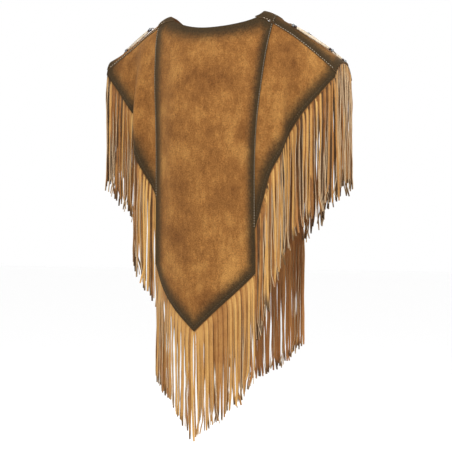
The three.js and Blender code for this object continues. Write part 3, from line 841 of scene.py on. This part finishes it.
# The first column of a centre panel is its left seam
SEAM_DYE = {"first": 35, "last": 23}
HEM_DYE = 31
SIDE_HEM_DYE = 33
LAP_DYE = {"left": 8, "right": 42}

for side in (LEFT, RIGHT):
    back = f"back_{side.name}"
    front = f"front_{side.name}"
    grid = back_side_grid(side)
    dyed = dyed_edges(grid, None, SIDE_HEM_DYE, last=SIDE_HEM_DYE)
    suede_panel(back, grid, 0, dyed, (0.20, 0.48), 0.050, [front + "_suede"])
    grid = front_side_grid(side)
    dyed = dyed_edges(grid, LAP_DYE[side.name], SIDE_HEM_DYE, last=SIDE_HEM_DYE)
    suede_panel(front, grid, 1, dyed, (0.20, 0.32), 0.047, [back + "_suede"])

grid = back_centre_grid()
dyed = dyed_edges(grid, NECK_DYE, HEM_DYE, **SEAM_DYE)
suede_panel("back_centre", grid, 1, dyed, (0.31, 0.80), 0.203, ["back_left_suede", "back_right_suede"])

grid = front_centre_grid()
strap_rows = len(STRAP_SHARES) + len(STRAP_DROPS) - 2
inner = HALF.index(STRAP_ACROSS)
middle = len(HALF) - 1
neck_path = [grid[i][middle - inner] for i in range(strap_rows)]
neck_path += grid[strap_rows][middle - inner : middle + inner + 1]
neck_path += [grid[i][middle + inner] for i in range(strap_rows - 1, -1, -1)]
dyed = dyed_edges(grid, None, HEM_DYE, **SEAM_DYE)
dyed.append((neck_path, NECK_DYE))
for side in (LEFT, RIGHT):
    dyed.append(([cell for cell in grid[0] if cell and cell[0] * side.sign > 0], STRAP_DYE))
suede_panel("front_centre", grid, 2, dyed, (0.31, 0.78), 0.183, ["front_left_suede", "front_right_suede"])


# Fringe
def uneven(n, k):
    """A number from -1 to 1 that is always the same for the same n and k."""
    wave = math.sin(n * 12.9898 + k * 78.233) * 43758.5453
    return 2 * (wave - math.floor(wave)) - 1


def slow(x, k):
    """A smooth wave from -1 to 1 that never repeats evenly."""
    long_wave = 0.5 * math.sin(x + k * 1.7)
    return long_wave + 0.3 * math.sin(x * 2.3 + k * 4.1) + 0.2 * math.sin(x * 4.9 + k * 0.6)


def walk_along(cells):
    """A path of cells measured by its length on the sheet."""
    spots = [cloth(*cell) for cell in cells]
    travelled = [0]
    for a, b in zip(spots, spots[1:]):
        travelled.append(travelled[-1] + (b - a).length)
    total = travelled[-1]

    def at(distance):
        d = min(max(distance, 0), total)
        i = 1
        while i < len(travelled) - 1 and travelled[i] < d:
            i += 1
        t = (d - travelled[i - 1]) / (travelled[i] - travelled[i - 1])
        return tuple(mix(a, b, t) for a, b in zip(cells[i - 1], cells[i]))

    return at, total


def panel_side(at):
    """1 or -1, for the side of a hem's path on which its panel lies, all along it."""
    cell = at(0)
    _, _, b, normal = sheet_frame(*cell)
    up = normal.cross(cloth(*at(STRIP_TURN)) - cloth(*cell))
    return -1 if up.dot(b) * cell[1] > 0 else 1


def hem_frame(at, distance, turned):
    """At one place of a hem: its point, the way along it, the way up the sheet from it, the way
    out of the sheet, and a function that moves its cell up the sheet."""
    cell = at(distance)
    origin, a, b, normal = sheet_frame(*cell)
    way = (cloth(*at(distance + STRIP_TURN)) - cloth(*at(distance - STRIP_TURN))).normalized()
    up = normal.cross(way).normalized() * turned
    det = a.dot(a) * b.dot(b) - a.dot(b) ** 2

    def move(length):
        across = (up.dot(a) * b.dot(b) - up.dot(b) * a.dot(b)) / det
        along = (up.dot(b) * a.dot(a) - up.dot(a) * a.dot(b)) / det
        return (cell[0] + across * length, cell[1] + along * length)

    return origin, way, up, normal, move


DOWN = Vector((0, 0, -1))
# How far a strand's first rings lie below its root, and the step of the rings below those
STRAND_FALLS = (0, 3, 7, 12, 18, 26)
STRAND_STEP = 15
# A strand leaves its hem square, and over this drop it comes to hang and turn freely
FREE_DROP = 70
# One wave of the bunching and of the tone takes about this much of the hem
WAVE_WIDTH = 21
STRIP_TONE = 0.2
# How far up the dye of a tip reaches, how far a tip curls and how much of the width it keeps
TIP_DYE = 22
TIP_CURL = 10
TIP_WIDTH = 0.72
# A strand whose draw is above the first number has its dye moved down past its tip by the second,
# in reaches of the dye
UNDYED_FROM = 0.3
UNDYED_SHIFT = 1.2
STRAND_CORNERS = ((-1, 1), (1, 1), (1, -1), (-1, -1))


def strands(part, cells, level, length_at, look, seed):
    """The fringe of one hem: its strip, and flat strands that leave it square, then hang, bunch,
    twist and cross a little. The strip and every strand are one mesh."""
    name = part + "_strands"
    node = "fringe_" + part
    late = look["late"]
    at, total = walk_along(cells)
    turned = panel_side(at)
    count = round(total / look["pitch"])
    points = []
    faces = []
    slots = []
    tones = []
    from_tip = []
    under = level * LAYER - look["gap"]

    def put(point, tone, tip):
        points.append(point)
        tones.append(tone)
        from_tip.append(tip)
        return len(points) - 1

    def join(rings, kinds):
        """Closes rings of four corners into a bar. kinds are the material slots of its sides."""
        faces.append(rings[0])
        slots.append(CUT_EDGE)
        for ring, below in zip(rings, rings[1:]):
            for k in range(4):
                faces.append((ring[k], below[k], below[(k + 1) % 4], ring[(k + 1) % 4]))
            slots.extend(kinds)
        faces.append(rings[-1][::-1])
        slots.append(CUT_EDGE)

    rings = []
    stretch = total / count
    for n in range(count + 1):
        origin, _, up, normal, move = hem_frame(at, n * stretch, turned)
        top, _, _, top_normal = sheet_frame(*move(STRIP_WIDTH), side_at(at(n * stretch)[0]))
        low = origin - up * STRIP_SHOWS
        corners = (
            top + top_normal * under,
            top + top_normal * (under + SUEDE),
            low + normal * (under + SUEDE),
            low + normal * under,
        )
        rings.append([put(corner, STRIP_TONE, NO_DYE) for corner in corners])
    join(rings, (CUT_EDGE, OUTSIDE, CUT_EDGE, INSIDE))

    for n in range(count):
        distance = (n + 0.5) * stretch
        origin, way, up, normal, _ = hem_frame(at, distance, turned)
        root = origin - up * (STRIP_SHOWS - 1) + normal * (under + SUEDE / 2)
        wide = Vector((way.x, way.y, 0)).normalized()
        thick = Vector((normal.x, normal.y, 0))
        thick = (thick - wide * thick.dot(wide)).normalized() if thick.length > 1e-4 else wide.cross(DOWN)
        away = -up
        away.z = 0
        place = distance / WAVE_WIDTH + seed
        stretched = 1 + 0.03 * uneven(n, seed + 1) - 0.05 * max(0, uneven(n, seed + 9) - 0.7)
        length = length_at(distance / total) * stretched
        width = look["width"] * (1 + 0.16 * uneven(n, seed + 2))
        half_depth = look["half_depth"] * (1 + 0.2 * uneven(n, seed + 3))
        tone = look["shade"] + 0.2 * slow(place * 0.6, seed)
        # The tone spreads at random. By n % 3, which also sets the depth layer, painted shade darkens the
        # inner layer of strands and painted light lightens the outer layer
        tone += look["tone_spread_and_layer_shade"] * (0.65 * uneven(n, seed + 4) + 0.5 * (n % 3 - 1))
        own = [uneven(n, seed + k) for k in (5, 6, 7, 8)]
        tip_dye = TIP_DYE * (1 + 0.5 * own[1])
        tip_shift = UNDYED_SHIFT if own[3] > UNDYED_FROM else 0
        layer = (n % 3 - 1) * 2.2 + 1.6 * own[3]
        lay = 1 if slow(place * 0.9, seed + 7) > -0.2 else -1
        falls = list(STRAND_FALLS) + evenly(STRAND_FALLS[-1], length, STRAND_STEP)[1:]
        turn_end = 0.9 * own[0] + (1.6 if own[1] > 0.72 else 0) - (1.6 if own[1] < -0.72 else 0)
        spine = []
        for fall in falls:
            share = fall / length
            bent = 1 - math.exp(-fall / 11)
            hung = smooth_step(0, FREE_DROP, fall)
            loose = share**late
            bunch = look["bunching"] * slow(place * 1.9, seed + 3) * share * loose
            sway = 1.3 * own[0] * math.sin(share * 7 + own[1] * 3) * hung * min(1, 3 * loose)
            lean = 3.0 * own[2] * loose + sway
            curl = TIP_CURL * own[1] ** 3 * smooth_step(0.8, 1, share) ** 2
            deep = layer * hung + 1.6 * slow(share * 5 + own[1] * 3, seed + 5) * hung
            spot = root + away * (look["swing"] * bent) + DOWN * fall
            spine.append(spot + wide * (bunch + lean + curl) + thick * (deep + 0.5 * curl))
        rings = []
        for i, (fall, spot) in enumerate(zip(falls, spine)):
            ahead = spine[min(i + 1, len(spine) - 1)]
            behind = spine[max(i - 1, 0)]
            tangent = (ahead - behind).normalized()
            if i == 0:
                tangent = (-up).normalized()
            flat = (wide - tangent * wide.dot(tangent)).normalized()
            out = flat.cross(tangent).normalized()
            if out.dot(thick) < 0:
                out = -out
            share = fall / length
            angle = turn_end * share + 0.5 * slow(share * 6 + own[2] * 4, seed + 2) + look["slant"] * lay
            angle *= smooth_step(0, FREE_DROP, fall) * min(1, 3 * share**late)
            across = flat * math.cos(angle) + out * math.sin(angle)
            outward = out * math.cos(angle) - flat * math.sin(angle)
            across *= width / 2 * (TIP_WIDTH if i == len(spine) - 1 else 1)
            outward *= half_depth
            tip = min((length - fall) / tip_dye + tip_shift, NO_DYE)
            rings.append([put(spot + across * a + outward * b, tone, tip) for a, b in STRAND_CORNERS])
        join(rings, (OUTSIDE, CUT_EDGE, INSIDE, CUT_EDGE))

    piece = new_piece(name, points, faces, (strand_nap, strand_grain, strand_cut), slots)
    mesh = piece.data
    for label, values in (("tone", tones), ("from_tip", from_tip)):
        mesh.attributes.new(label, "FLOAT", "POINT").data.foreach_set("value", values)
    make_smooth(piece, 40)
    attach(piece, "root")
    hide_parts(node)
    return piece


# Where strips and stitches begin beside the seam, where round the shoulder tip the side strips end,
# from 0 at the ridge to 1 at the seam, and the step of their paths
V_INSET = 3
STRAND_START = -4
STITCH_START = 4
FRONT_STRIP_END = 0.42
BACK_STRIP_END = 0.5
HEM_STEP = 3


def v_hem(face):
    reach = SEAM_ACROSS - V_INSET
    return [
        (across, along_at_height(across, side_at(across).v[face](abs(across)), face))
        for across in evenly(-reach, reach, HEM_STEP)
    ]


def side_hem(face, side, start):
    cells = []
    for out in evenly(SEAM_ACROSS + start, side.tip - 1, HEM_STEP):
        across = side.sign * out
        cells.append((across, along_at_height(across, side.hem[face](out), face, side)))
    return cells


V_LENGTH = {face: curve_of(V_FRINGE, "share", face) for face in ("back", "front")}
side_length = curve_of(SIDE_FRINGE, "share", "length")

for face, level in (("back", 0), ("front", 1)):
    part = face + "_centre"
    strands(part, v_hem(face), level, V_LENGTH[face], V_LOOK, level + 1)
for side in (LEFT, RIGHT):
    seed = 3 if side is LEFT else 4
    # Both strips go on round the shoulder tip
    for face, level, stop in (("back", -1, BACK_STRIP_END), ("front", 0, FRONT_STRIP_END)):
        hem = side_hem(face, side, STRAND_START)
        across, last = hem[-1]
        hem += [(across, along) for along in evenly(last, stop * seam_along(across), HEM_STEP)[1:]]
        part = f"{face}_{side.name}"
        strands(part, hem, level, side_length, SIDE_LOOK, seed)
        seed += 2


# Stitching
STITCH_RINGS = (-1.0, -0.72, 0.0, 0.72, 1.0)
STITCH_SIDES = 5


def add_stitches(points, faces, path, level, pitch, stitch_length, radius):
    """Adds the stitches along a path of cells, each dipping into the suede at both ends."""
    at, total = walk_along(path)
    for n in range(int(total / pitch)):
        middle = (n + 0.5) * pitch
        cell = at(middle)
        normal = sheet_frame(*cell)[3]
        base = lifted(*cell, level * LAYER + SUEDE)
        way = (cloth(*at(middle + 1)) - cloth(*at(middle - 1))).normalized()
        side_way = normal.cross(way).normalized()
        start = len(points)
        for place in STITCH_RINGS:
            lift = radius * (0.55 - 1.1 * place * place)
            size = radius * (1 - 0.55 * place * place)
            centre = base + way * (place * stitch_length / 2) + normal * lift
            for k in range(STITCH_SIDES):
                angle = 2 * math.pi * k / STITCH_SIDES
                round_it = side_way * (size * math.cos(angle))
                points.append(centre + round_it + normal * (size * math.sin(angle)))
        last = start + (len(STITCH_RINGS) - 1) * STITCH_SIDES
        for ring in range(start, last, STITCH_SIDES):
            for k in range(STITCH_SIDES):
                a = ring + k
                b = ring + (k + 1) % STITCH_SIDES
                faces.append((a, b, b + STITCH_SIDES, a + STITCH_SIDES))
        faces.append(tuple(range(start + STITCH_SIDES - 1, start - 1, -1)))
        faces.append(tuple(range(last, last + STITCH_SIDES)))


def stitching(name, rows, material):
    points = []
    faces = []
    for row in rows:
        add_stitches(points, faces, *row)
    piece = new_piece(name, points, faces, (material,))
    make_smooth(piece, 60)
    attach(piece, "root")


def moved_in(cells, inset):
    """A path moved up the sheet from a hem."""
    at, total = walk_along(cells)
    turned = panel_side(at)
    return [hem_frame(at, d, turned)[4](inset) for d in evenly(0, total, HEM_STEP)]


def beside_seam(side, start, end):
    """A path along the shoulder seam, in from the edge that laps over the back."""
    outs = evenly(start, end, HEM_STEP)
    return [(side.sign * out, seam_along(side.sign * out) + LAP_INSET) for out in outs]


# The pitch, length and radius of the stitches, and how far rows lie in from an edge
STITCH = (6.2, 3.4, 0.4)
SHOULDER_STITCH = (6.6, 3.8, 0.52)
EDGE_INSET = 2.2
HEM_INSET = 7
LAP_INSET = 3.2

for face, level in (("back", 1), ("front", 2)):
    rows = []
    for side in (LEFT, RIGHT):
        across = side.sign * (SEAM_ACROSS - EDGE_INSET)
        top = seam_along(across) - 6 if face == "back" else seam_along(across) + 3
        bottom = along_at_height(across, side.hem[face](SEAM_ACROSS), face, side)
        path = [(across, along) for along in evenly(top, bottom, HEM_STEP)]
        rows.append((path, level, *STITCH))
    stitching(f"{face}_centre_seam_stitches", rows, light_thread)
    stitching(f"{face}_v_hem_stitches", [(moved_in(v_hem(face), HEM_INSET), level, *STITCH)], dark_thread)

strap_rows = []
for side in (LEFT, RIGHT):
    for face, level in (("back", 0), ("front", 1)):
        path = moved_in(side_hem(face, side, STITCH_START), HEM_INSET)
        stitching(f"{face}_{side.name}_hem_stitches", [(path, level, *STITCH)], dark_thread)
    path = beside_seam(side, SEAM_ACROSS + 3, side.tip - 6)
    stitching(f"{side.name}_shoulder_stitches", [(path, 1, *SHOULDER_STITCH)], light_thread)
    strap_rows.append((beside_seam(side, NECK_ACROSS + 4, SEAM_ACROSS - 6), 2, *SHOULDER_STITCH))
stitching("strap_stitches", strap_rows, light_thread)


# Bone tubes and their beads
def along_ahead(across, ahead):
    out = abs(across)
    face = "back" if ahead < 0 else "front"
    reach = abs(FORM_CURVES[face](out) - side_at(across).forward(out))
    return FORM_CURVES[face + "Roll"](out) * math.asin(max(-1, min(1, ahead / reach)))


def plain_lifted(across, along, height):
    """A point over the cloth as it lies without its small creases."""
    kept = dict(CREASE_ROWS)
    CREASE_ROWS["back"] = CREASE_ROWS["front"] = []
    point = lifted(across, along, height)
    CREASE_ROWS.update(kept)
    return point


def tube_place(side, tube):
    """The middle of a tube and the direction of its axis."""
    _, start, end, inner, outer = tube
    height = LAYER + SUEDE + SILVER_RADIUS + TUBE_REST
    a = plain_lifted(side.sign * start, along_ahead(side.sign * start, inner), height)
    b = plain_lifted(side.sign * end, along_ahead(side.sign * end, outer), height)
    return (a + b) / 2, (b - a).normalized()


def bored_cylinder(name, sides, radius, length, material):
    """An upright cylinder, its two ends inset and joined by a bore."""
    bpy.ops.object.select_all(action="DESELECT")
    bpy.ops.mesh.primitive_cylinder_add(vertices=sides, radius=radius * MM, depth=length * MM)
    piece = bpy.context.object
    piece.name = name
    piece.data.name = name
    bpy.ops.object.mode_set(mode="EDIT")
    mesh = bmesh.from_edit_mesh(piece.data)
    bpy.ops.mesh.select_all(action="DESELECT")
    for face in mesh.faces:
        face.select_set(abs(face.normal.z) > 0.9)
    mesh.select_flush_mode()
    bmesh.update_edit_mesh(piece.data)
    bpy.ops.mesh.inset(thickness=(radius - BORE) * MM, use_individual=True)
    bpy.ops.mesh.bridge_edge_loops()
    bpy.ops.object.mode_set(mode="OBJECT")
    piece.data.materials.append(material)
    return piece


def turned_piece(name, sides, radius, length, material, profile, cuts, bevel=0):
    """A bored cylinder cut into rings and turned to a profile, its rims rounded by the bevel."""
    piece = bored_cylinder(name, sides, radius, length, material)
    choose(piece)
    half = max(v.co.z for v in piece.data.vertices)
    bpy.ops.object.mode_set(mode="EDIT")
    for k in range(1, cuts):
        bpy.ops.mesh.select_all(action="SELECT")
        bpy.ops.mesh.bisect(plane_co=(0, 0, mix(-half, half, k / cuts)), plane_no=(0, 0, 1))
    bpy.ops.object.mode_set(mode="OBJECT")
    for vertex in piece.data.vertices:
        if math.hypot(vertex.co.x, vertex.co.y) > (BORE + 0.2) * MM:
            size = profile(vertex.co.z / half)
            vertex.co.x *= size
            vertex.co.y *= size
    if bevel:
        rim = piece.modifiers.new("rim", "BEVEL")
        rim.width = bevel * MM
        rim.segments = 3
        rim.limit_method = "ANGLE"
        apply_modifier(piece, rim)
    make_smooth(piece, 35)
    return piece


def rounded(t):
    return math.sqrt(max(0, 1 - t * t))


def set_on_axis(pattern, name, middle, axis, node):
    """A copy of a pattern, its own mesh turned onto an axis."""
    piece = bpy.data.objects.new(name, pattern.data.copy())
    bpy.context.scene.collection.objects.link(piece)
    turn = Vector((0, 0, 1)).rotation_difference(axis).to_matrix().to_4x4()
    piece.data.transform(Matrix.Translation(middle * MM) @ turn)
    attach(piece, "root")
    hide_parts(node)


# How far from the middle of a tube its beads lie
DARK_AT = TUBE_LENGTH / 2 + BEAD_CLEAR + DARK_LENGTH / 2
SILVER_AT = DARK_AT + DARK_LENGTH / 2 + BEAD_CLEAR + SILVER_LENGTH / 2

# One tube, one dark bead and one silver bead, standing upright at the origin
tube_pattern = turned_piece(
    "bone_tube", 28, TUBE_RADIUS, TUBE_LENGTH, bone, lambda t: 1 - 0.2 * t * t - 0.05 * t**8, 14, 0.25
)
dark_pattern = turned_piece(
    "dark_bead", 24, DARK_RADIUS, DARK_LENGTH, horn, lambda t: 0.56 + 0.44 * rounded(t), 8
)
silver_pattern = turned_piece(
    "silver_bead",
    24,
    SILVER_RADIUS,
    SILVER_LENGTH,
    silver,
    lambda t: 0.5 + 0.5 * rounded(t) - 0.045 * (abs(t) < 0.12),
    12,
)
for side in (LEFT, RIGHT):
    for tube in TUBES:
        label = side.name + "_" + tube[0]
        middle, axis = tube_place(side, tube)
        set_on_axis(tube_pattern, "turned_tube_" + label, middle, axis, "bone_tube_" + label)
        for end, way in (("inner", -1), ("outer", 1)):
            for kind, pattern, out, slot in (
                ("dark_bead", dark_pattern, DARK_AT, "dark_bead"),
                ("silver_bead", silver_pattern, SILVER_AT, "silver"),
            ):
                bead = f"{kind}_{label}_{end}"
                set_on_axis(pattern, "turned_" + bead, middle + axis * (way * out), axis, bead)
        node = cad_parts["bead_lace_" + label]
        node.material_slots[0].material = lace
for pattern in (tube_pattern, dark_pattern, silver_pattern):
    bpy.data.objects.remove(pattern, do_unlink=True)

for piece, flat, area, rests_on in SHEETS:
    part = piece.name.removesuffix("_suede")


# Floor, light and camera
def make_floor():
    bpy.ops.object.select_all(action="DESELECT")
    bpy.ops.mesh.primitive_plane_add(size=40, location=(0, 0, cad_box[0][2] - 0.3))
    floor = bpy.context.object
    floor.name = "studio_floor"
    white = {"Base_Color": (0.98, 0.98, 0.98, 1), "Roughness": 0.9}
    floor.data.materials.append(new_material("pale floor", lambda tree, place: white))


def area_light(name, azimuth, elevation, distance, size, power):
    """A soft light that faces the middle of the poncho."""
    target = Vector((0, 0, -0.45))
    a = math.radians(azimuth)
    e = math.radians(elevation)
    place = target + distance * Vector((math.sin(a) * math.cos(e), -math.cos(a) * math.cos(e), math.sin(e)))
    light = bpy.data.lights.new(name, "AREA")
    light.shape = "DISK"
    light.size = size
    light.energy = power
    lamp = bpy.data.objects.new(name, light)
    lamp.location = place
    lamp.rotation_euler = (target - place).to_track_quat("-Z", "Y").to_euler()
    bpy.context.scene.collection.objects.link(lamp)


def make_studio():
    world = bpy.data.worlds.new("studio")
    world.use_nodes = True
    sky = world.node_tree.nodes["Background"]
    sky.inputs["Color"].default_value = (1, 1, 1, 1)
    sky.inputs["Strength"].default_value = 1.0
    bpy.context.scene.world = world
    area_light("key", 32, 42, 3.2, 1.2, 58)
    area_light("fill", -50, 15, 3.4, 1.8, 6)
    area_light("behind", 190, 30, 3.4, 1.8, 22)


def make_camera():
    camera = bpy.data.cameras.new("camera")
    camera.sensor_width = 36
    camera.lens = 36 * FOCAL_PIXELS / IMAGE_WIDTH
    camera.shift_x = (IMAGE_WIDTH / 2 - PRINCIPAL_POINT[0]) / IMAGE_WIDTH
    camera.shift_y = (PRINCIPAL_POINT[1] - IMAGE_WIDTH / 2) / IMAGE_WIDTH
    holder = bpy.data.objects.new("camera", camera)
    side_way = Vector((math.sin(CAMERA_AZIMUTH), -math.cos(CAMERA_AZIMUTH), 0))
    holder.location = CAMERA_TARGET + side_way * CAMERA_DISTANCE
    holder.rotation_euler = (math.pi / 2, 0, CAMERA_AZIMUTH)
    bpy.context.scene.collection.objects.link(holder)
    bpy.context.scene.camera = holder


bpy.context.scene.view_settings.view_transform = "Standard"
make_floor()
make_studio()
make_camera()
